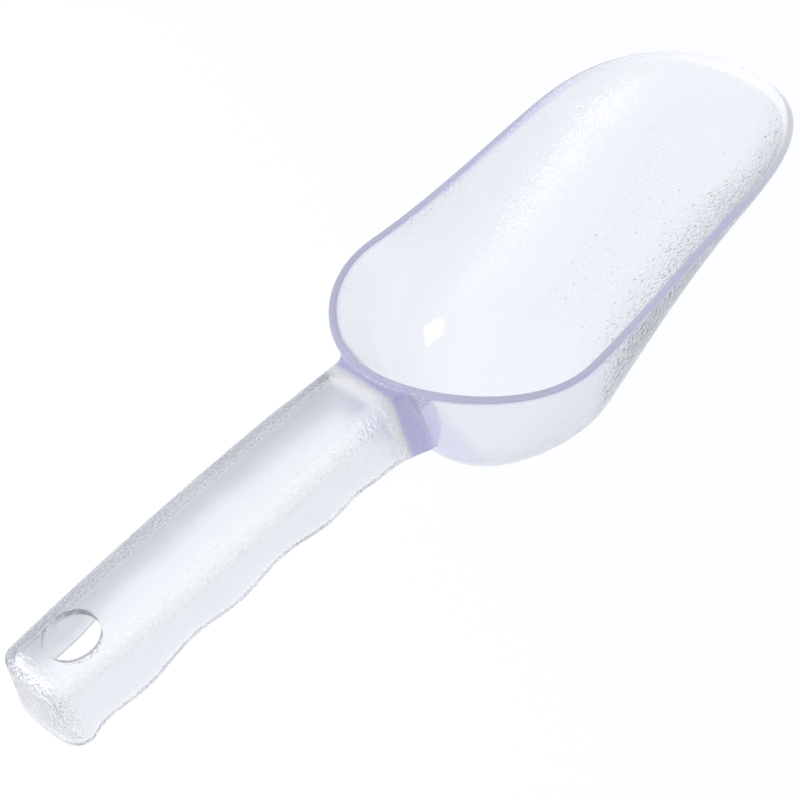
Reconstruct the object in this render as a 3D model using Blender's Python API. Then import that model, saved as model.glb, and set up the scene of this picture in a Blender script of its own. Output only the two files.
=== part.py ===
"""Small clear polycarbonate ice scoop, injection moulded in one piece.

The bowl is a deep trough: a rounded back, nearly straight sides and a broad round lip. Its rim
falls from the back to the lip. The handle is an inverted channel, open underneath, with four finger
notches in its lower edges, a closed rounded end and a hang hole. A solid web joins it to the bowl.

Everything is in metres. The bowl stands on its flat floor at z = 0, the lip points along +X, and
the origin is under the middle of the whole scoop.
"""

import math

import bmesh
import bpy
from mathutils import Matrix, Vector

# Bowl, with x measured from the back of the rim.
BOWL_LENGTH = 0.1225
BACK_HALF_WIDTH = 0.0375
LIP_HALF_WIDTH = 0.0320
WAIST = 0.0016  # how much the sides draw in halfway along
BACK_ROUND = 0.0315  # length of the rounded back, seen from above
BACK_SQUEEZE = 0.18  # how much narrower the back is than an ellipse
LIP_ROUND = 0.0390
LIP_POWER = 2.3  # 2 is an ellipse, more is squarer
RIM_BACK = 0.0520
RIM_LIP = 0.0014
RIM_SAG = 0.0021
RIM_BEND = 0.0075  # steeper at the back and at the lip than in the middle
SIDE_FILLET = 0.0270
BACK_FILLET = 0.0120
WALL = 0.0019
RIM_EDGE = 0.0005

# Handle, with s measured along it from the back of the bowl.
HANDLE_LENGTH = 0.0995
HANDLE_PITCH = math.radians(19)
HANDLE_DROP = 0.0006  # top of the handle below the rim, where they meet
HANDLE_CROWN = 0.0004
NECK_HALF_WIDTH = 0.0100
END_HALF_WIDTH = 0.0091
GRIP_SWELL = 0.0015
NECK_DEPTH = 0.0168
END_DEPTH = 0.0169
GRIP_ARCH = 0.0039  # how much shallower the channel is halfway along
SIDE_DRAFT = 0.12  # outward lean of the side walls
END_DRAFT = 0.04
SHOULDER = 0.0025
END_ROUND = 0.0047
END_POWER = 2.9
NOTCH_PITCH = 0.0262
NOTCH_HEIGHT = 0.0008
FIRST_BULGE = 0.0272
WAVES_FROM = 0.0120  # the notches' waves start here, and are full at the next
WAVES_FULL = 0.0200
END_DIP = 0.0013  # how much deeper the last few millimetres are
DIP_FROM = 0.0905
SIDE_FLARE = 0.0025  # radius where the handle's sides spread into the bowl
UNDER_FLARE = 0.0165  # the same under it
NECK_BACK = 0.0095  # how far the bowl's wall is behind s = 0, at the handle's lower edge
NECK_CLEAR = 0.0190  # from here on the sections stand square to the handle
WEB = 0.0014  # where the channel starts
WEB_LEAN = -0.21  # lean of the web's sides where they run into the bowl
CHANNEL_SHOULDER = 0.0027
HOLE_RADIUS = 0.0061
HOLE_FROM_END = 0.0135

# Mesh fineness.
RIM_COLUMNS = 40  # on each half of the rim
WALL_ROWS = 13
EDGE_ROWS = 3
GRIP_STATIONS = 30
ROUND_STATIONS = 7
NECK_STATIONS = 9
BLEND_STATIONS = 4
SHOULDER_ROWS = 4
SIDE_ROWS = 3
TOP_ROWS = 4
HOLE_SIDES = 48

BELOW = 0.03  # how far the channel cutter runs out below the handle


def clear_scene():
    for thing in list(bpy.data.objects):
        bpy.data.objects.remove(thing, do_unlink=True)


def clear_polycarbonate():
    material = bpy.data.materials.new("clear_polycarbonate")
    material.use_nodes = True
    shader = material.node_tree.nodes["Principled BSDF"]
    shader.inputs["Base Color"].default_value = (0.86, 0.87, 0.95, 1)
    shader.inputs["Roughness"].default_value = 0.12
    shader.inputs["Transmission Weight"].default_value = 0.9
    shader.inputs["IOR"].default_value = 1.58
    material.diffuse_color = (0.80, 0.82, 0.95, 1)
    return material


def clamp(value, low=0.0, high=1.0):
    return min(max(value, low), high)


def mix(start, end, share):
    return start + (end - start) * share


def hump(share):
    """0 at both ends and 1 halfway."""
    return 4 * share * (1 - share)


# --- The bowl ---


def rim_half_width(x):
    share = x / BOWL_LENGTH
    width = mix(BACK_HALF_WIDTH, LIP_HALF_WIDTH, share) - WAIST * hump(share)
    back = clamp(1 - x / BACK_ROUND)
    lip = clamp((x - BOWL_LENGTH + LIP_ROUND) / LIP_ROUND)
    width *= math.sqrt(1 - back**2) * (1 - BACK_SQUEEZE * back**2)
    return width * (1 - lip**LIP_POWER) ** (1 / LIP_POWER)


def rim_height(x):
    share = x / BOWL_LENGTH
    bend = 10 * share * (1 - share) * (0.5 - share)
    return mix(RIM_BACK, RIM_LIP, share) - RIM_SAG * hump(share) - RIM_BEND * bend


def wall_profile(height, fillet):
    """(inset, z, lean) up the outer wall, from the floor's edge to just under the rim.

    The inset is from the wall's upright part, and the lean is the angle of the wall's inner normal
    above level.
    """
    rim_lean = math.asin(clamp((fillet - height) / fillet))
    upright = max(height - fillet, 0.0)
    curved = fillet * (math.pi / 2 - rim_lean)
    length = curved + upright - RIM_EDGE
    rows = []
    for row in range(WALL_ROWS + 1):
        run = length * row / WALL_ROWS
        lean = max(math.pi / 2 - run / fillet, 0.0)
        climb = max(run - fillet * math.pi / 2, 0.0)
        rows.append((fillet * (1 - math.cos(lean)), fillet * (1 - math.sin(lean)) + climb, lean))
    return rows


def bowl_profile(height, fillet):
    """(inset, z) from the outer floor's edge, over the rim, to the inner floor's edge."""
    outer = wall_profile(height, fillet)
    inset, z, lean = outer[-1]
    along = Vector((-math.sin(lean), math.cos(lean)))
    across = Vector((math.cos(lean), math.sin(lean)))
    foot = Vector((inset, z))
    points = [Vector((a, b)) for a, b, _ in outer]
    for side, offset in ((-1, RIM_EDGE), (1, WALL - RIM_EDGE)):
        centre = foot + across * offset
        for step in range(EDGE_ROWS + 1):
            turn = math.pi / 2 * step / EDGE_ROWS
            if side > 0:
                turn = math.pi / 2 - turn
            points.append(centre + RIM_EDGE * (side * across * math.cos(turn) + along * math.sin(turn)))
    for a, b, lean in reversed(outer):
        points.append(Vector((a + WALL * math.cos(lean), b + WALL * math.sin(lean))))
    return points


def rim_columns():
    """(x, y, inward) round the whole rim, starting at the middle of the back."""
    near = []
    for column in range(RIM_COLUMNS + 1):
        x = BOWL_LENGTH * (1 - math.cos(math.pi * column / RIM_COLUMNS)) / 2
        y = -rim_half_width(x)
        spine = clamp(x, BACK_ROUND, BOWL_LENGTH - LIP_ROUND)
        near.append((x, y, Vector((spine - x, -y)).normalized()))
    far = [(x, -y, Vector((inward.x, -inward.y))) for x, y, inward in near[-2:0:-1]]
    return near + far


def bowl_mesh():
    mesh = bmesh.new()
    rings = []
    for x, y, inward in rim_columns():
        fillet = mix(SIDE_FILLET, BACK_FILLET, max(inward.x, 0) ** 2)
        height = rim_height(x)
        overhang = fillet * (1 - math.cos(math.asin(clamp((fillet - height) / fillet))))
        ring = []
        for inset, z in bowl_profile(height, fillet):
            plan = Vector((x, y)) + inward * (inset - overhang)
            ring.append(mesh.verts.new((plan.x, plan.y, z)))
        rings.append(ring)
    for ring, other in zip(rings, rings[1:] + rings[:1]):
        for row in range(len(ring) - 1):
            mesh.faces.new((ring[row], other[row], other[row + 1], ring[row + 1]))
    mesh.faces.new([ring[0] for ring in reversed(rings)])
    mesh.faces.new([ring[-1] for ring in rings])
    return mesh


# --- The handle ---


def spread(radius, clear):
    """How far a fillet of this radius stands out where it is this far from the wall it runs into."""
    share = clamp(1 - clear / radius)
    return radius * (1 - math.sqrt(1 - share**2))


def grip_half_width(s):
    share = s / HANDLE_LENGTH
    return mix(NECK_HALF_WIDTH, END_HALF_WIDTH, share) + GRIP_SWELL * hump(share)


def grip_depth(s):
    share = s / HANDLE_LENGTH
    height = NOTCH_HEIGHT * clamp((s - WAVES_FROM) / (WAVES_FULL - WAVES_FROM))
    wave = height * math.cos(2 * math.pi * (s - FIRST_BULGE) / NOTCH_PITCH)
    flare = spread(UNDER_FLARE, s + NECK_BACK - WALL / 2)
    dip = END_DIP * clamp((s - DIP_FROM) / (HANDLE_LENGTH - END_ROUND - DIP_FROM))
    return mix(NECK_DEPTH, END_DEPTH, share) - GRIP_ARCH * hump(share) + wave + flare + dip


def skin_rows(blank, depth):
    """(inset, z, fall) up the side of a section: its lean grows with the fall below the shoulder."""
    shoulder, top, bottom = (SHOULDER, 0, -depth) if blank else (CHANNEL_SHOULDER, -WALL, -BELOW)
    rows = []
    for row in range(SIDE_ROWS):
        fall = (top - shoulder - bottom) * (1 - row / SIDE_ROWS)
        rows.append((0, top - shoulder - fall, fall))
    for row in range(SHOULDER_ROWS + 1):
        turn = math.pi / 2 * row / SHOULDER_ROWS
        rows.append((shoulder * (1 - math.cos(turn)), top - shoulder * (1 - math.sin(turn)), 0))
    return rows


def section(blank, station, way=0.0, lean=SIDE_DRAFT):
    """Closed loop of (s, y, z): up the near side, over the crown, down the far side and back under.

    A rounded end is many sections: way is 1 at the tip of the handle's end, -1 at the tip of the
    neck end, and in between it is how far round the section lies.
    """
    wall = 0 if blank else WALL
    left = (1 - abs(way) ** END_POWER) ** (1 / END_POWER)
    near = []
    for inset, z, fall in skin_rows(blank, grip_depth(station)):
        y = (grip_half_width(station) - wall - inset + lean * fall) * left
        near.append((station + (END_ROUND - wall - inset + END_DRAFT * fall) * way, -y, z))
    far = [(s, -y, z) for s, y, z in reversed(near)]
    crown, under = [], []
    for row in range(1, TOP_ROWS):
        across = 2 * row / TOP_ROWS - 1
        s, y, z = near[-1]
        crown.append((s, -y * across, z + HANDLE_CROWN * (1 - across**2) * left))
        s, y, z = near[0]
        under.append((s, y * across, z))
    return near + crown + far + under


def straight_sections(blank, start):
    end = HANDLE_LENGTH - END_ROUND
    return [section(blank, mix(start, end, i / GRIP_STATIONS)) for i in range(GRIP_STATIONS + 1)]


def round_end(blank, station, way):
    """Sections from the start of a rounded end to its tip."""
    turns = [math.sin(math.pi / 2 * i / ROUND_STATIONS) for i in range(1, ROUND_STATIONS + 1)]
    return [section(blank, station, way * turn) for turn in turns]


def on_bowl(y, z):
    """Place along the handle where the line at (y, z) meets the middle of the bowl's back wall."""
    low, high = 0.0, BACK_ROUND
    for _ in range(30):
        middle = (low + high) / 2
        if rim_half_width(middle) < abs(y):
            low = middle
        else:
            high = middle
    return (z * math.sin(HANDLE_PITCH) - low - WALL / 2) / math.cos(HANDLE_PITCH)


def neck_section(distance, share):
    """A section at this distance from the middle of the bowl's wall, spread by the flare there.

    The share is how far it has gone over from following the wall to standing square to the handle.
    """
    clear = distance - WALL / 2
    wider = 1 + spread(SIDE_FLARE, clear) / NECK_HALF_WIDTH
    lean = mix(SIDE_DRAFT, WEB_LEAN, clamp(1 - clear / UNDER_FLARE) ** 4)
    loop = []
    for _, y, z in section(True, mix(distance - NECK_BACK, NECK_CLEAR, share), 0, lean):
        y *= wider
        loop.append((mix(on_bowl(y, z) + distance, NECK_CLEAR, share), y, z))
    return loop


def neck_sections():
    """Sections from inside the bowl's wall to the square one where the straight handle starts."""
    found = [neck_section(0, 0)]
    for row in range(NECK_STATIONS + 1):
        out = UNDER_FLARE * (1 - math.cos(math.pi / 2 * row / NECK_STATIONS))
        found.append(neck_section(WALL / 2 + out, 0))
    for row in range(1, BLEND_STATIONS):
        found.append(neck_section(WALL / 2 + UNDER_FLARE, row / BLEND_STATIONS))
    return found


def cap_neck(mesh, loop):
    """Closes the first section with a grid that lies inside the bowl's wall."""
    rows = SIDE_ROWS + SHOULDER_ROWS + 1
    near, crown = loop[:rows], loop[rows : rows + TOP_ROWS - 1]
    far, under = loop[2 * rows + TOP_ROWS - 2 : rows + TOP_ROWS - 2 : -1], loop[2 * rows + TOP_ROWS - 1 :]
    grid = [[near[0], *reversed(under), far[0]]]
    for row in range(1, rows - 1):
        _, y, z = near[row].co
        levels = [y * (1 - 2 * i / TOP_ROWS) for i in range(1, TOP_ROWS)]
        grid.append([near[row], *(mesh.verts.new((on_bowl(a, z), a, z)) for a in levels), far[row]])
    grid.append([near[-1], *crown, far[-1]])
    for lower, upper in zip(grid, grid[1:]):
        for i in range(TOP_ROWS):
            mesh.faces.new((lower[i], lower[i + 1], upper[i + 1], upper[i]))


def skin(mesh, sections):
    """Joins the sections side to side, and returns the loops of their vertices."""
    loops = [[mesh.verts.new(point) for point in points] for points in sections]
    for loop, other in zip(loops, loops[1:]):
        for i in range(len(loop)):
            after = (i + 1) % len(loop)
            mesh.faces.new((loop[i], loop[after], other[after], other[i]))
    return loops


def handle_blank_mesh():
    """The handle as a solid, before the channel is cut out of it."""
    mesh = bmesh.new()
    sections = neck_sections() + straight_sections(True, NECK_CLEAR)
    loops = skin(mesh, sections + round_end(True, HANDLE_LENGTH - END_ROUND, 1))
    cap_neck(mesh, loops[0])
    return mesh


def channel_mesh():
    """What the channel takes out of the handle, run on below it."""
    mesh = bmesh.new()
    start = WEB + END_ROUND - WALL
    neck_end = round_end(False, start, -1)[::-1]
    skin(mesh, neck_end + straight_sections(False, start) + round_end(False, HANDLE_LENGTH - END_ROUND, 1))
    return mesh


def hang_hole_mesh():
    mesh = bmesh.new()
    place = Matrix.Translation((HANDLE_LENGTH - HOLE_FROM_END, 0, 0))
    bmesh.ops.create_cone(
        mesh,
        cap_ends=True,
        segments=HOLE_SIDES,
        radius1=HOLE_RADIUS,
        radius2=HOLE_RADIUS,
        depth=4 * SHOULDER,
        matrix=place,
    )
    return mesh


# --- Putting it together ---


def add_object(name, mesh, matrix):
    """Links the mesh as an object, with stray doubles merged and its faces pointing out."""
    bmesh.ops.remove_doubles(mesh, verts=mesh.verts, dist=1e-6)
    bmesh.ops.dissolve_degenerate(mesh, edges=mesh.edges, dist=1e-6)
    bmesh.ops.recalc_face_normals(mesh, faces=mesh.faces)
    data = bpy.data.meshes.new(name)
    mesh.to_mesh(data)
    mesh.free()
    thing = bpy.data.objects.new(name, data)
    thing.matrix_world = matrix
    bpy.context.scene.collection.objects.link(thing)
    return thing


def add_helper(name, mesh, matrix):
    helper = add_object(name, mesh, matrix)
    helper.hide_render = True
    helper.display_type = "WIRE"
    return helper


def combine(thing, helper, operation):
    modifier = thing.modifiers.new(helper.name, "BOOLEAN")
    modifier.operation = operation
    modifier.object = helper
    modifier.solver = "EXACT"


def main():
    clear_scene()
    sine, cosine = math.sin(HANDLE_PITCH), math.cos(HANDLE_PITCH)
    tip_depth = grip_depth(HANDLE_LENGTH - END_ROUND)
    tip_reach = HANDLE_LENGTH + END_DRAFT * (tip_depth - SHOULDER)
    handle_end = -tip_reach * cosine - tip_depth * sine
    middle = Matrix.Translation((-(BOWL_LENGTH + handle_end) / 2, 0, 0))
    # The handle's own x runs from the bowl to its end, and its z points out of its top.
    handle_frame = middle @ Matrix(
        (
            (-cosine, 0, sine, 0),
            (0, -1, 0, 0),
            (sine, 0, cosine, RIM_BACK - HANDLE_DROP),
            (0, 0, 0, 1),
        )
    )
    scoop = add_object("scoop_body", bowl_mesh(), middle)
    combine(scoop, add_helper("handle_blank", handle_blank_mesh(), handle_frame), "UNION")
    combine(scoop, add_helper("channel_cutter", channel_mesh(), handle_frame), "DIFFERENCE")
    combine(scoop, add_helper("hang_hole_cutter", hang_hole_mesh(), handle_frame), "DIFFERENCE")
    scoop.data.materials.append(clear_polycarbonate())
    scoop.data.shade_smooth()
    scoop.data.set_sharp_from_angle(angle=math.radians(40))


main()
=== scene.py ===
"""Looks of a small clear polycarbonate ice scoop, injection moulded in one piece.

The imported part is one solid. This script builds the same shape again, finer and with every edge
rounded as a moulding's edges are, and gives it clear plastic. The plastic is violet and cloudy on
the rim and the web, pebbled on the handle's shoulders, sides and end, smooth along the handle's
top, glossy at the bowl's back and frosted from there to the lip.
"""

import math

import bmesh
import bpy
from mathutils import Matrix, Quaternion, Vector


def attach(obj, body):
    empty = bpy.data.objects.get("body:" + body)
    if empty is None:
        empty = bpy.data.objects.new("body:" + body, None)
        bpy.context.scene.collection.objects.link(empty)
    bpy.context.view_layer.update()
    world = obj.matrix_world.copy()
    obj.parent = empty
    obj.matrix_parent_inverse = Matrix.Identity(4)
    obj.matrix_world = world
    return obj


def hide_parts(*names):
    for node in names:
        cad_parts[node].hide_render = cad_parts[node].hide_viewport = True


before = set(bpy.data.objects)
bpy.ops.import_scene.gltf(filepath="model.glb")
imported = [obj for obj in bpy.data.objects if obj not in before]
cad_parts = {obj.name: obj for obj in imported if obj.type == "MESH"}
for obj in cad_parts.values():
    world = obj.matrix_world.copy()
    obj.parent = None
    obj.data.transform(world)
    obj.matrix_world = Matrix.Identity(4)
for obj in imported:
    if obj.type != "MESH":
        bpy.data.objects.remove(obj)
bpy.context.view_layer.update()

# --- Sizes, in metres: the part's own ---

# Bowl, with x measured from the back of the rim.
BOWL_LENGTH = 0.1225
BACK_HALF_WIDTH = 0.0375
LIP_HALF_WIDTH = 0.0320
WAIST = 0.0016  # how much the sides draw in halfway along
BACK_ROUND = 0.0315  # length of the rounded back, seen from above
BACK_SQUEEZE = 0.18  # how much narrower the back is than an ellipse
LIP_ROUND = 0.0390
LIP_POWER = 2.3  # 2 is an ellipse, more is squarer
RIM_BACK = 0.0520
RIM_LIP = 0.0014
RIM_SAG = 0.0021
RIM_BEND = 0.0075  # steeper at the back and at the lip than in the middle
SIDE_FILLET = 0.0270
BACK_FILLET = 0.0120
WALL = 0.0019
RIM_EDGE = 0.0005

# Handle, with s measured along it from the back of the bowl.
HANDLE_LENGTH = 0.0995
HANDLE_PITCH = math.radians(19)
HANDLE_DROP = 0.0006  # top of the handle below the rim, where they meet
HANDLE_CROWN = 0.0004
NECK_HALF_WIDTH = 0.0100
END_HALF_WIDTH = 0.0091
GRIP_SWELL = 0.0015
NECK_DEPTH = 0.0168
END_DEPTH = 0.0169
GRIP_ARCH = 0.0039  # how much shallower the channel is halfway along
SIDE_DRAFT = 0.12  # outward lean of the side walls
END_DRAFT = 0.04
SHOULDER = 0.0025
END_ROUND = 0.0047
END_POWER = 2.9
NOTCH_PITCH = 0.0262
NOTCH_HEIGHT = 0.0008
FIRST_BULGE = 0.0272
WAVES_FROM = 0.0120  # the notches' waves start here, and are full at the next
WAVES_FULL = 0.0200
END_DIP = 0.0013  # how much deeper the last few millimetres are
DIP_FROM = 0.0905
SIDE_FLARE = 0.0025  # radius where the handle's sides spread into the bowl
UNDER_FLARE = 0.0165  # the same under it
NECK_BACK = 0.0095  # how far the bowl's wall is behind s = 0, at the handle's lower edge
NECK_CLEAR = 0.0190  # from here on the sections stand square to the handle
WEB = 0.0014  # where the channel starts
WEB_LEAN = -0.21  # lean of the web's sides where they run into the bowl
WEB_LEAN_POWER = 4  # how fast that lean dies out away from the bowl
CHANNEL_SHOULDER = 0.0027
HOLE_RADIUS = 0.0061
HOLE_FROM_END = 0.0135

# Only in this finer shape.
LOWER_EDGE = 0.0004  # radius of the channel's lower edges
HOLE_EDGE = 0.0003
TOP_FILLET = 0.0006  # radius where the handle's top runs up to the rim
CROWN_AT_HOLE = 0.7 * HANDLE_CROWN  # height of the crowned top round the hang hole

# How far the cutters run out past the handle.
BELOW = 0.03
HOLE_REACH = 4 * SHOULDER

# Mesh fineness.
RIM_COLUMNS = 150  # on each half of the rim
WALL_ROWS = 44
EDGE_ROWS = 5
GRIP_STATIONS = 120
ROUND_STATIONS = 20
NECK_STATIONS = 30
BLEND_STATIONS = 10
SHOULDER_ROWS = 10
CORNER_ROWS = 4
SIDE_ROWS = 8
TOP_ROWS = 14
HOLE_SIDES = 96
HALVINGS = 30  # in the search for the bowl's back
SAME_POINT = 1e-6  # points closer than this are one
SHARP_ANGLE = math.radians(35)  # edges that turn more than this look sharp


def clamp(value, low=0.0, high=1.0):
    return min(max(value, low), high)


def mix(start, end, share):
    return start + (end - start) * share


def hump(share):
    """0 at both ends and 1 halfway."""
    return 4 * share * (1 - share)


def swing(share):
    """0 at both ends and halfway, and about 0.5 at a quarter and -0.5 at three quarters."""
    return 10 * share * (1 - share) * (0.5 - share)


def smooth(value, low, high):
    """0 below low and 1 above high, easing in between."""
    share = clamp((value - low) / (high - low))
    return share * share * (3 - 2 * share)


# --- The bowl ---


def rim_half_width(x):
    share = x / BOWL_LENGTH
    width = mix(BACK_HALF_WIDTH, LIP_HALF_WIDTH, share) - WAIST * hump(share)
    back = clamp(1 - x / BACK_ROUND)
    lip = clamp((x - BOWL_LENGTH + LIP_ROUND) / LIP_ROUND)
    width *= math.sqrt(1 - back**2) * (1 - BACK_SQUEEZE * back**2)
    return width * (1 - lip**LIP_POWER) ** (1 / LIP_POWER)


def rim_height(x):
    share = x / BOWL_LENGTH
    return mix(RIM_BACK, RIM_LIP, share) - RIM_SAG * hump(share) - RIM_BEND * swing(share)


def wall_profile(height, fillet):
    """(inset, z, lean) up the outer wall, from the floor's edge to just under the rim.

    The inset is from the wall's upright part, and the lean is the angle of the wall's inner normal
    above level.
    """
    rim_lean = math.asin(clamp((fillet - height) / fillet))
    upright = max(height - fillet, 0.0)
    curved = fillet * (math.pi / 2 - rim_lean)
    length = curved + upright - RIM_EDGE
    rows = []
    for row in range(WALL_ROWS + 1):
        run = length * row / WALL_ROWS
        lean = max(math.pi / 2 - run / fillet, 0.0)
        climb = max(run - fillet * math.pi / 2, 0.0)
        rows.append((fillet * (1 - math.cos(lean)), fillet * (1 - math.sin(lean)) + climb, lean))
    return rows


def bowl_profile(height, fillet):
    """(inset, z) from the outer floor's edge, over the rim, to the inner floor's edge."""
    outer = wall_profile(height, fillet)
    inset, z, lean = outer[-1]
    along = Vector((-math.sin(lean), math.cos(lean)))
    across = Vector((math.cos(lean), math.sin(lean)))
    foot = Vector((inset, z))
    points = [Vector((a, b)) for a, b, _ in outer]
    for side, offset in ((-1, RIM_EDGE), (1, WALL - RIM_EDGE)):
        centre = foot + across * offset
        for step in range(EDGE_ROWS + 1):
            turn = math.pi / 2 * step / EDGE_ROWS
            if side > 0:
                turn = math.pi / 2 - turn
            out = side * across * math.cos(turn) + along * math.sin(turn)
            points.append(centre + RIM_EDGE * out)
    for a, b, lean in reversed(outer):
        points.append(Vector((a + WALL * math.cos(lean), b + WALL * math.sin(lean))))
    return points


def rim_columns():
    """(x, y, inward) round the whole rim, starting at the middle of the back."""
    near = []
    for column in range(RIM_COLUMNS + 1):
        x = BOWL_LENGTH * (1 - math.cos(math.pi * column / RIM_COLUMNS)) / 2
        y = -rim_half_width(x)
        spine = clamp(x, BACK_ROUND, BOWL_LENGTH - LIP_ROUND)
        near.append((x, y, Vector((spine - x, -y)).normalized()))
    far = [(x, -y, Vector((inward.x, -inward.y))) for x, y, inward in near[-2:0:-1]]
    return near + far


def bowl_mesh():
    """The bowl's wall as a ring of profiles, with its floor closed inside and out."""
    mesh = bmesh.new()
    rings = []
    for x, y, inward in rim_columns():
        fillet = mix(SIDE_FILLET, BACK_FILLET, max(inward.x, 0) ** 2)
        height = rim_height(x)
        overhang = fillet * (1 - math.cos(math.asin(clamp((fillet - height) / fillet))))
        ring = []
        for inset, z in bowl_profile(height, fillet):
            plan = Vector((x, y)) + inward * (inset - overhang)
            ring.append(mesh.verts.new((plan.x, plan.y, z)))
        rings.append(ring)
    for ring, other in zip(rings, rings[1:] + rings[:1]):
        for row in range(len(ring) - 1):
            mesh.faces.new((ring[row], other[row], other[row + 1], ring[row + 1]))
    for near in range(RIM_COLUMNS):
        near_pair, far_pair = (rings[near], rings[near + 1]), (rings[-near - 1], rings[-near])
        for row in (0, -1):
            corners = [ring[row] for ring in (*near_pair, *far_pair)]
            mesh.faces.new(list(dict.fromkeys(corners)))
    return mesh


# --- The handle ---


def spread(radius, clear):
    """How far a fillet of this radius stands out, this far clear of the wall it runs into."""
    share = clamp(1 - clear / radius)
    return radius * (1 - math.sqrt(1 - share**2))


def grip_half_width(s):
    share = s / HANDLE_LENGTH
    return mix(NECK_HALF_WIDTH, END_HALF_WIDTH, share) + GRIP_SWELL * hump(share)


def grip_depth(s):
    share = s / HANDLE_LENGTH
    height = NOTCH_HEIGHT * clamp((s - WAVES_FROM) / (WAVES_FULL - WAVES_FROM))
    wave = height * math.cos(2 * math.pi * (s - FIRST_BULGE) / NOTCH_PITCH)
    flare = spread(UNDER_FLARE, s + NECK_BACK - WALL / 2)
    dip = END_DIP * clamp((s - DIP_FROM) / (HANDLE_LENGTH - END_ROUND - DIP_FROM))
    return mix(NECK_DEPTH, END_DEPTH, share) - GRIP_ARCH * hump(share) + wave + flare + dip


def quarter(rows):
    return [math.pi / 2 * row / rows for row in range(rows + 1)]


def skin_rows(blank, depth):
    """(inset, z, fall) up the side of a section. The fall is how far below the shoulder it is."""
    shoulder, top = (SHOULDER, 0) if blank else (CHANNEL_SHOULDER, -WALL)
    lower = -depth + LOWER_EDGE
    rows = []
    if not blank:
        rows.append((-LOWER_EDGE, -BELOW, top - shoulder + depth))
    for turn in quarter(CORNER_ROWS):
        inset = LOWER_EDGE * (1 - math.sin(turn)) * (1 if blank else -1)
        z = lower - LOWER_EDGE * math.cos(turn)
        rows.append((inset, z, top - shoulder - z))
    for row in range(1, SIDE_ROWS):
        z = mix(lower, top - shoulder, row / SIDE_ROWS)
        rows.append((0, z, top - shoulder - z))
    for turn in quarter(SHOULDER_ROWS):
        rows.append((shoulder * (1 - math.cos(turn)), top - shoulder * (1 - math.sin(turn)), 0))
    return rows


def section(blank, station, way=0.0, lean=SIDE_DRAFT):
    """Closed loop of (s, y, z): up the near side, over the crown, down the far side and back under.

    A rounded end is many sections: way is 1 at the tip of the handle's end, -1 at the tip of the
    neck end, and in between it is how far round the section lies.
    """
    wall = 0 if blank else WALL
    left = (1 - abs(way) ** END_POWER) ** (1 / END_POWER)
    near = []
    for inset, z, fall in skin_rows(blank, grip_depth(station)):
        y = (grip_half_width(station) - wall - inset + lean * fall) * left
        near.append((station + (END_ROUND - wall - inset + END_DRAFT * fall) * way, -y, z))
    far = [(s, -y, z) for s, y, z in reversed(near)]
    crown, under = [], []
    for row in range(1, TOP_ROWS):
        across = 2 * row / TOP_ROWS - 1
        s, y, z = near[-1]
        crown.append((s, -y * across, z + HANDLE_CROWN * (1 - across**2) * left))
        s, y, z = near[0]
        under.append((s, y * across, z))
    return near + crown + far + under


def straight_sections(blank, start):
    end = HANDLE_LENGTH - END_ROUND
    return [section(blank, mix(start, end, i / GRIP_STATIONS)) for i in range(GRIP_STATIONS + 1)]


def round_end(blank, station, way):
    """Sections from the start of a rounded end to its tip."""
    turns = [math.sin(math.pi / 2 * i / ROUND_STATIONS) for i in range(1, ROUND_STATIONS + 1)]
    return [section(blank, station, way * turn) for turn in turns]


def bowl_back(y):
    """x of the bowl's outer back at this distance from the middle plane."""
    low, high = 0.0, BACK_ROUND
    for _ in range(HALVINGS):
        middle = (low + high) / 2
        if rim_half_width(middle) < abs(y):
            low = middle
        else:
            high = middle
    return low


def on_bowl(y, z):
    """Place along the handle where the line at (y, z) meets the middle of the bowl's back wall."""
    return (z * math.sin(HANDLE_PITCH) - bowl_back(y) - WALL / 2) / math.cos(HANDLE_PITCH)


def neck_section(distance, share):
    """A section at this distance from the middle of the bowl's wall, spread by the flare there.

    The share is how far it has gone over from following the wall to standing square to the handle.
    """
    clear = distance - WALL / 2
    wider = 1 + spread(SIDE_FLARE, clear) / NECK_HALF_WIDTH
    lean = mix(SIDE_DRAFT, WEB_LEAN, clamp(1 - clear / UNDER_FLARE) ** WEB_LEAN_POWER)
    loop = []
    for _, y, z in section(True, mix(distance - NECK_BACK, NECK_CLEAR, share), 0, lean):
        lift = spread(TOP_FILLET, clear) * smooth(z, -SHOULDER, 0)
        y *= wider
        loop.append((mix(on_bowl(y, z) + distance, NECK_CLEAR, share), y, z + lift))
    return loop


def neck_sections():
    """Sections from inside the bowl's wall to the square one where the straight handle starts."""
    found = [neck_section(0, 0)]
    for row in range(NECK_STATIONS + 1):
        out = UNDER_FLARE * (1 - math.cos(math.pi / 2 * row / NECK_STATIONS))
        found.append(neck_section(WALL / 2 + out, 0))
    for row in range(1, BLEND_STATIONS):
        found.append(neck_section(WALL / 2 + UNDER_FLARE, row / BLEND_STATIONS))
    return found


def cap_neck(mesh, loop):
    """Closes the first section with a grid that lies inside the bowl's wall."""
    rows = (len(loop) - 2 * (TOP_ROWS - 1)) // 2
    near, crown = loop[:rows], loop[rows : rows + TOP_ROWS - 1]
    far = loop[2 * rows + TOP_ROWS - 2 : rows + TOP_ROWS - 2 : -1]
    under = loop[2 * rows + TOP_ROWS - 1 :]
    grid = [[near[0], *reversed(under), far[0]]]
    for row in range(1, rows - 1):
        _, y, z = near[row].co
        levels = [y * (1 - 2 * i / TOP_ROWS) for i in range(1, TOP_ROWS)]
        grid.append([near[row], *(mesh.verts.new((on_bowl(a, z), a, z)) for a in levels), far[row]])
    grid.append([near[-1], *crown, far[-1]])
    for lower, upper in zip(grid, grid[1:]):
        for i in range(TOP_ROWS):
            mesh.faces.new((lower[i], lower[i + 1], upper[i + 1], upper[i]))


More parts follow.
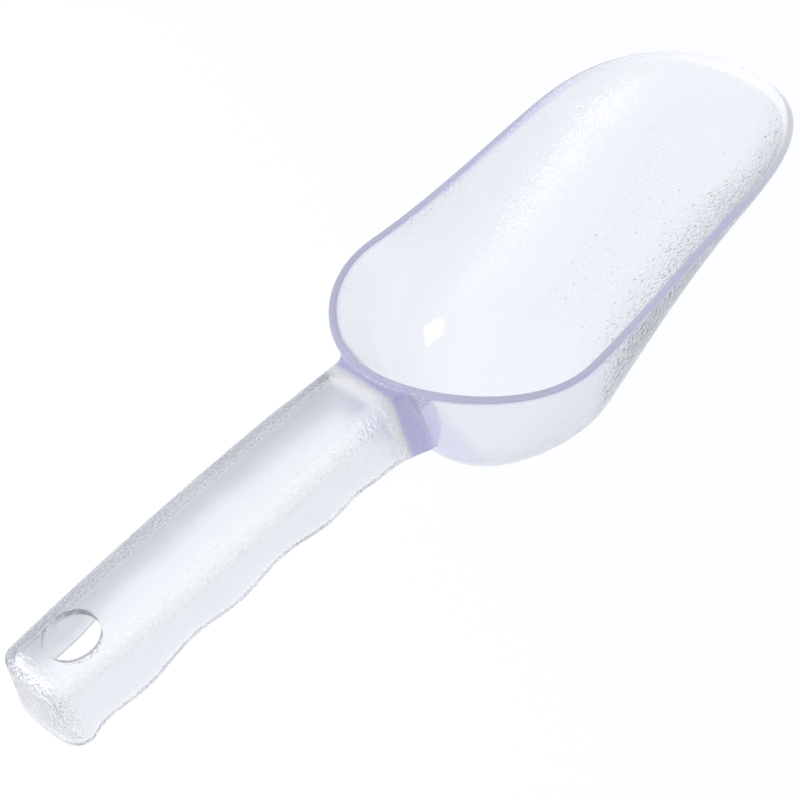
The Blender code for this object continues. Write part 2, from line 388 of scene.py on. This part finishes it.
def skin(mesh, sections):
    """Joins the sections side to side, and returns the loops of their vertices."""
    loops = [[mesh.verts.new(point) for point in points] for points in sections]
    for loop, other in zip(loops, loops[1:]):
        for i in range(len(loop)):
            after = (i + 1) % len(loop)
            mesh.faces.new((loop[i], loop[after], other[after], other[i]))
    return loops


def handle_blank_mesh():
    """The handle as a solid, before the channel is cut out of it."""
    mesh = bmesh.new()
    sections = neck_sections() + straight_sections(True, NECK_CLEAR)
    loops = skin(mesh, sections + round_end(True, HANDLE_LENGTH - END_ROUND, 1))
    cap_neck(mesh, loops[0])
    return mesh


def channel_mesh():
    """What the channel takes out of the handle, run on below it."""
    mesh = bmesh.new()
    start = WEB + END_ROUND - WALL
    neck_end = round_end(False, start, -1)[::-1]
    end = round_end(False, HANDLE_LENGTH - END_ROUND, 1)
    skin(mesh, neck_end + straight_sections(False, start) + end)
    return mesh


def hang_hole_mesh():
    """A cutter that opens out where it leaves the handle's top wall, above and below."""
    mesh = bmesh.new()
    curve = [(1 - math.sin(turn), 1 - math.cos(turn)) for turn in quarter(CORNER_ROWS)]
    rings = [(HOLE_RADIUS + HOLE_EDGE, HOLE_REACH)]
    for out, into in curve:
        rings.append((HOLE_RADIUS + HOLE_EDGE * out, CROWN_AT_HOLE - HOLE_EDGE * into))
    for out, into in reversed(curve):
        rings.append((HOLE_RADIUS + HOLE_EDGE * out, -WALL + CROWN_AT_HOLE + HOLE_EDGE * into))
    rings.append((HOLE_RADIUS + HOLE_EDGE, -HOLE_REACH))
    turns = [2 * math.pi * i / HOLE_SIDES for i in range(HOLE_SIDES)]
    around = [(math.cos(turn), math.sin(turn)) for turn in turns]
    loops = []
    for radius, z in rings:
        loops.append([mesh.verts.new((radius * x, radius * y, z)) for x, y in around])
    for loop, other in zip(loops, loops[1:]):
        for i in range(HOLE_SIDES):
            after = (i + 1) % HOLE_SIDES
            mesh.faces.new((loop[i], loop[after], other[after], other[i]))
    mesh.faces.new(loops[0])
    mesh.faces.new(loops[-1][::-1])
    bmesh.ops.translate(mesh, verts=mesh.verts, vec=(HANDLE_LENGTH - HOLE_FROM_END, 0, 0))
    return mesh


# --- Putting it together ---

SINE, COSINE = math.sin(HANDLE_PITCH), math.cos(HANDLE_PITCH)
TIP_DEPTH = grip_depth(HANDLE_LENGTH - END_ROUND)
TIP_REACH = HANDLE_LENGTH + END_DRAFT * (TIP_DEPTH - SHOULDER)
HANDLE_END = -TIP_REACH * COSINE - TIP_DEPTH * SINE
MIDDLE = Matrix.Translation((-(BOWL_LENGTH + HANDLE_END) / 2, 0, 0))
# The handle's own x runs from the bowl to its end, and its z points out of its top.
HANDLE_FRAME = MIDDLE @ Matrix(
    (
        (-COSINE, 0, SINE, 0),
        (0, -1, 0, 0),
        (SINE, 0, COSINE, RIM_BACK - HANDLE_DROP),
        (0, 0, 0, 1),
    )
)


def add_object(name, mesh, matrix):
    """Links the mesh as an object, with stray doubles merged and its faces pointing out."""
    bmesh.ops.remove_doubles(mesh, verts=mesh.verts, dist=SAME_POINT)
    bmesh.ops.dissolve_degenerate(mesh, edges=mesh.edges, dist=SAME_POINT)
    bmesh.ops.recalc_face_normals(mesh, faces=mesh.faces)
    data = bpy.data.meshes.new(name)
    mesh.to_mesh(data)
    mesh.free()
    thing = bpy.data.objects.new(name, data)
    thing.matrix_world = matrix
    bpy.context.scene.collection.objects.link(thing)
    return thing


def moulding():
    """The whole scoop as one object, with its vertices in the row frame."""
    scoop = add_object("clear_scoop", bowl_mesh(), MIDDLE)
    helpers = [
        (add_object("handle_blank", handle_blank_mesh(), HANDLE_FRAME), "UNION"),
        (add_object("channel_cutter", channel_mesh(), HANDLE_FRAME), "DIFFERENCE"),
        (add_object("hang_hole_cutter", hang_hole_mesh(), HANDLE_FRAME), "DIFFERENCE"),
    ]
    for helper, operation in helpers:
        modifier = scoop.modifiers.new(helper.name, "BOOLEAN")
        modifier.operation = operation
        modifier.object = helper
        modifier.solver = "EXACT"
    graph = bpy.context.evaluated_depsgraph_get()
    data = bpy.data.meshes.new_from_object(scoop.evaluated_get(graph))
    scoop.modifiers.clear()
    scoop.data = data
    data.transform(scoop.matrix_world)
    scoop.matrix_world = Matrix.Identity(4)
    for helper, _ in helpers:
        bpy.data.objects.remove(helper, do_unlink=True)
    data.shade_smooth()
    data.set_sharp_from_angle(angle=SHARP_ANGLE)
    return scoop


# --- Where the plastic's looks change ---

# Each fade is (from, to). Along the handle, from the back of the bowl:
WEB_MIDDLE = 0.5 * WEB
VIOLET_FADE = (WEB_MIDDLE, 1.7 * WEB)
CLOUDY_FADE = (2 * WEB, 5 * WEB)
FLAT_TOP_FADE = (WEB, 3 * WEB)
END_FADE = (HANDLE_LENGTH - 0.007, HANDLE_LENGTH - 0.003)
# Across the handle's top from its middle, and down its sides:
SHOULDER_FADE = (0.0045, 0.0075)
SIDE_FADE = (SHOULDER, 2 * SHOULDER)
# Down from the rim, and back from the bowl's back wall beside the web:
RIM_FADE = (RIM_EDGE, 3 * RIM_EDGE)
FLARE_FADE = (-0.4 * WALL, 0.3 * WALL)
# Along the bowl, from the back of its rim:
RIM_VIOLET_FADE = (0.075, 0.112)
FROST_FADE = (0.020, 0.050)
LIP_FROST_FADE = (0.075, 0.115)
# Up from the bowl's floor:
FLOOR_FADE = (0.0025, 0.0070)

RIM_VIOLET = 0.75  # how violet the rim is, next to the web
LIP_LOSS = 0.85  # share of it that is gone at the lip
HANDLE_CLOUD = 0.4  # how cloudy the pebbles are, next to the web
SIDE_LOSS = 0.4  # share of the pebbles that is gone on the handle's sides
FROST_LIP_LOSS = 0.3
FROST_SIDE_LOSS = 0.2


def mark(mesh, name, measure):
    """Stores measure(point in the bowl's frame, point in the handle's frame) on each vertex."""
    to_bowl, to_handle = MIDDLE.inverted(), HANDLE_FRAME.inverted()
    values = [measure(to_bowl @ vertex.co, to_handle @ vertex.co) for vertex in mesh.vertices]
    mesh.attributes.new(name, "FLOAT", "POINT").data.foreach_set("value", values)


def rim_share(bowl):
    """1 on the rim's edge, fading out below it."""
    below = rim_height(clamp(bowl.x, 0, BOWL_LENGTH)) - bowl.z
    return 1 - smooth(below, *RIM_FADE)


def cloudy_share(bowl, grip):
    """1 on the rim, the web and the channel's start, and less where the handle is pebbled.

    These scatter light instead of letting it through.
    """
    if grip.x > WEB_MIDDLE:
        return max(1 - smooth(grip.x, *CLOUDY_FADE), HANDLE_CLOUD * pebble_share(bowl, grip))
    return max(violet_share(bowl, grip), rim_share(bowl))


def violet_share(bowl, grip):
    """1 on the web, and less on the rim, where it fades out towards the lip."""
    if grip.x > WEB_MIDDLE:
        return 1 - smooth(grip.x, *VIOLET_FADE)
    edge = NECK_HALF_WIDTH + SIDE_FLARE
    clear = edge + 2 * SIDE_FLARE
    beside = 1 - smooth(abs(bowl.y), edge, clear)
    behind = bowl_back(min(abs(bowl.y), clear)) - bowl.x
    rim = RIM_VIOLET * rim_share(bowl) * (1 - LIP_LOSS * smooth(bowl.x, *RIM_VIOLET_FADE))
    return max(beside * smooth(behind, *FLARE_FADE), rim)


def pebble_share(bowl, grip):
    """1 on the handle's shoulders and end and on the web, less on its sides, 0 along its top."""
    if (grip.x < -END_ROUND and bowl.x > 0) or inside_share(bowl, grip):
        return 0.0
    flat = 1 - smooth(abs(grip.y), *SHOULDER_FADE)
    along = smooth(grip.x, *FLAT_TOP_FADE) * (1 - smooth(grip.x, *END_FADE))
    side = smooth(-grip.z, *SIDE_FADE) * along
    return (1 - flat * along) * (1 - SIDE_LOSS * side)


def frost_share(bowl, grip):
    """1 on the bowl's floor, less up its sides and towards the lip, and 0 at its glossy back."""
    if grip.x > 0:
        return 0.0
    lip = FROST_LIP_LOSS * smooth(bowl.x, *LIP_FROST_FADE)
    side = FROST_SIDE_LOSS * smooth(bowl.z, *FLOOR_FADE)
    return smooth(bowl.x, *FROST_FADE) * (1 - lip) * (1 - side)


def inside_share(bowl, grip):
    """1 on the channel's roof and inner walls."""
    if grip.x < 0 or grip.x > HANDLE_LENGTH - WALL / 2 or grip.z > -WALL / 2:
        return 0.0
    half_width = grip_half_width(grip.x) + SIDE_DRAFT * max(-grip.z - SHOULDER, 0)
    return 1.0 if abs(grip.y) < half_width - WALL / 2 else 0.0


# --- Material ---

REFRACTION = 1.58
CLEAR_TINT = (0.985, 0.99, 1.0, 1)
VIOLET_TINT = (0.60, 0.59, 0.89, 1)
CLEAR_TRANSMISSION, CLOUDY_TRANSMISSION = 0.96, 0.38
SMOOTH_ROUGHNESS, PEBBLE_ROUGHNESS = 0.03, 0.10
FROST_ROUGHNESS = 0.26
INSIDE_ROUGHNESS = 0.38
GRAINS = 1500  # scale of the grain, about this many to the metre
PEBBLE_HEIGHT = 0.00030
FROST_HEIGHT = 0.00019
DEPTH_COLOUR = (0.59, 0.63, 0.70, 1)  # what thick plastic turns light into
DEPTH_DENSITY = 125


def node(tree, kind, **settings):
    made = tree.nodes.new(kind)
    for name, value in settings.items():
        setattr(made, name, value)
    return made


def attribute(tree, name):
    return node(tree, "ShaderNodeAttribute", attribute_name=name).outputs["Fac"]


def ranged(tree, factor, low, high):
    """The factor's 0 to 1 spread over low to high."""
    made = node(tree, "ShaderNodeMapRange")
    made.inputs["To Min"].default_value = low
    made.inputs["To Max"].default_value = high
    tree.links.new(factor, made.inputs["Value"])
    return made.outputs["Result"]


def grained(tree, place, height, strength, normal=None):
    """The surface's normal tilted by a grain of this height, as strongly as the strength says."""
    noise = node(tree, "ShaderNodeTexNoise")
    noise.inputs["Scale"].default_value = GRAINS
    noise.inputs["Detail"].default_value = 0
    tree.links.new(place, noise.inputs["Vector"])
    bump = node(tree, "ShaderNodeBump")
    bump.inputs["Distance"].default_value = height
    tree.links.new(noise.outputs["Fac"], bump.inputs["Height"])
    tree.links.new(strength, bump.inputs["Strength"])
    if normal:
        tree.links.new(normal, bump.inputs["Normal"])
    return bump.outputs["Normal"]


def larger(tree, first, second):
    made = node(tree, "ShaderNodeMath", operation="MAXIMUM")
    tree.links.new(first, made.inputs[0])
    tree.links.new(second, made.inputs[1])
    return made.outputs[0]


def clear_plastic():
    material = bpy.data.materials.new("clear_plastic")
    material.use_nodes = True
    tree = material.node_tree
    shader = tree.nodes["Principled BSDF"]
    shader.inputs["IOR"].default_value = REFRACTION
    place = node(tree, "ShaderNodeTexCoord").outputs["Object"]
    violet, cloudy = attribute(tree, "violet"), attribute(tree, "cloudy")
    pebble, frost = attribute(tree, "pebble"), attribute(tree, "frost")
    inside = attribute(tree, "inside")

    tint = node(tree, "ShaderNodeMix", data_type="RGBA")
    tint.inputs["A"].default_value = CLEAR_TINT
    tint.inputs["B"].default_value = VIOLET_TINT
    tree.links.new(violet, tint.inputs["Factor"])
    tree.links.new(tint.outputs["Result"], shader.inputs["Base Color"])
    passing = ranged(tree, cloudy, CLEAR_TRANSMISSION, CLOUDY_TRANSMISSION)
    tree.links.new(passing, shader.inputs["Transmission Weight"])

    rough = ranged(tree, pebble, SMOOTH_ROUGHNESS, PEBBLE_ROUGHNESS)
    rough = larger(tree, rough, ranged(tree, frost, 0, FROST_ROUGHNESS))
    rough = larger(tree, rough, ranged(tree, inside, 0, INSIDE_ROUGHNESS))
    tree.links.new(rough, shader.inputs["Roughness"])

    normal = grained(tree, place, PEBBLE_HEIGHT, pebble)
    normal = grained(tree, place, FROST_HEIGHT, frost, normal)
    tree.links.new(normal, shader.inputs["Normal"])

    volume = node(tree, "ShaderNodeVolumeAbsorption")
    volume.inputs["Color"].default_value = DEPTH_COLOUR
    volume.inputs["Density"].default_value = DEPTH_DENSITY
    tree.links.new(volume.outputs["Volume"], tree.nodes["Material Output"].inputs["Volume"])
    return material


# --- Stage ---

CAMERA_AIM = MIDDLE @ Vector((0.00460, 0.00967, 0.02057))
CAMERA_AZIMUTH = math.radians(-103.63)  # direction from the scoop to the camera
CAMERA_ELEVATION = math.radians(55.82)
CAMERA_ROLL = math.radians(-41.60)
CAMERA_DISTANCE = 0.500
CAMERA_LENS = 96.78
SENSOR = 36.0

FLOOR_RADIUS = 4
FLOOR_SIDES = 96
FLOOR_GAP = 0.0003  # keeps the floor clear of the scoop's own flat floor
FLOOR_COLOUR = (0.88, 0.885, 0.90, 1)
FLOOR_ROUGHNESS = 0.7

SKY_COLOUR = (0.97, 0.98, 1.0, 1)
HORIZON, ZENITH = 0.53, 1.17  # the sky's strength
LIGHT_DISTANCE = 1.2


def direction(azimuth, elevation):
    level = math.cos(elevation)
    return Vector((level * math.cos(azimuth), level * math.sin(azimuth), math.sin(elevation)))


def add_camera():
    back = direction(CAMERA_AZIMUTH, CAMERA_ELEVATION)
    level = Vector((-math.sin(CAMERA_AZIMUTH), math.cos(CAMERA_AZIMUTH), 0))
    rise = back.cross(level)
    right = level * math.cos(CAMERA_ROLL) + rise * math.sin(CAMERA_ROLL)
    up = rise * math.cos(CAMERA_ROLL) - level * math.sin(CAMERA_ROLL)
    place = CAMERA_AIM + back * CAMERA_DISTANCE
    data = bpy.data.cameras.new("camera")
    data.lens = CAMERA_LENS
    data.sensor_width = SENSOR
    camera = bpy.data.objects.new("camera", data)
    camera.matrix_world = Matrix(
        (
            (right.x, up.x, back.x, place.x),
            (right.y, up.y, back.y, place.y),
            (right.z, up.z, back.z, place.z),
            (0, 0, 0, 1),
        )
    )
    bpy.context.scene.collection.objects.link(camera)
    bpy.context.scene.camera = camera


def add_floor():
    mesh = bmesh.new()
    bmesh.ops.create_circle(mesh, cap_ends=True, segments=FLOOR_SIDES, radius=FLOOR_RADIUS)
    floor = add_object("floor", mesh, Matrix.Translation((0, 0, -FLOOR_GAP)))
    material = bpy.data.materials.new("pale_floor")
    material.use_nodes = True
    shader = material.node_tree.nodes["Principled BSDF"]
    shader.inputs["Base Color"].default_value = FLOOR_COLOUR
    shader.inputs["Roughness"].default_value = FLOOR_ROUGHNESS
    floor.data.materials.append(material)


def add_softbox(name, azimuth, elevation, width, height, power, roll=0):
    """An area light that faces the scoop from this direction, with its angles in degrees."""
    away = direction(math.radians(azimuth), math.radians(elevation))
    data = bpy.data.lights.new(name, "AREA")
    data.shape = "RECTANGLE"
    data.size = width
    data.size_y = height
    data.energy = power
    light = bpy.data.objects.new(name, data)
    light.location = away * LIGHT_DISTANCE
    light.rotation_mode = "QUATERNION"
    turn = Quaternion((0, 0, 1), math.radians(roll))
    light.rotation_quaternion = away.to_track_quat("Z", "Y") @ turn
    bpy.context.scene.collection.objects.link(light)


def add_world():
    """Even light from above that falls off towards the horizon."""
    world = bpy.data.worlds.new("studio")
    world.use_nodes = True
    tree = world.node_tree
    background = tree.nodes["Background"]
    background.inputs["Color"].default_value = SKY_COLOUR
    split = node(tree, "ShaderNodeSeparateXYZ")
    tree.links.new(node(tree, "ShaderNodeTexCoord").outputs["Generated"], split.inputs["Vector"])
    tree.links.new(ranged(tree, split.outputs["Z"], HORIZON, ZENITH), background.inputs["Strength"])
    bpy.context.scene.world = world


scoop = moulding()
mark(scoop.data, "violet", violet_share)
mark(scoop.data, "cloudy", cloudy_share)
mark(scoop.data, "pebble", pebble_share)
mark(scoop.data, "frost", frost_share)
mark(scoop.data, "inside", inside_share)
scoop.data.materials.clear()
scoop.data.materials.append(clear_plastic())
scoop.visible_shadow = False
scoop.visible_diffuse = False
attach(scoop, "root")
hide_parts("scoop_body")

add_camera()
add_floor()
add_world()
add_softbox("key", azimuth=-57, elevation=43.5, width=0.26, height=0.40, power=1.2, roll=30)
add_softbox("back", azimuth=140, elevation=30, width=0.35, height=0.35, power=4)
bpy.context.scene.view_settings.view_transform = "Standard"
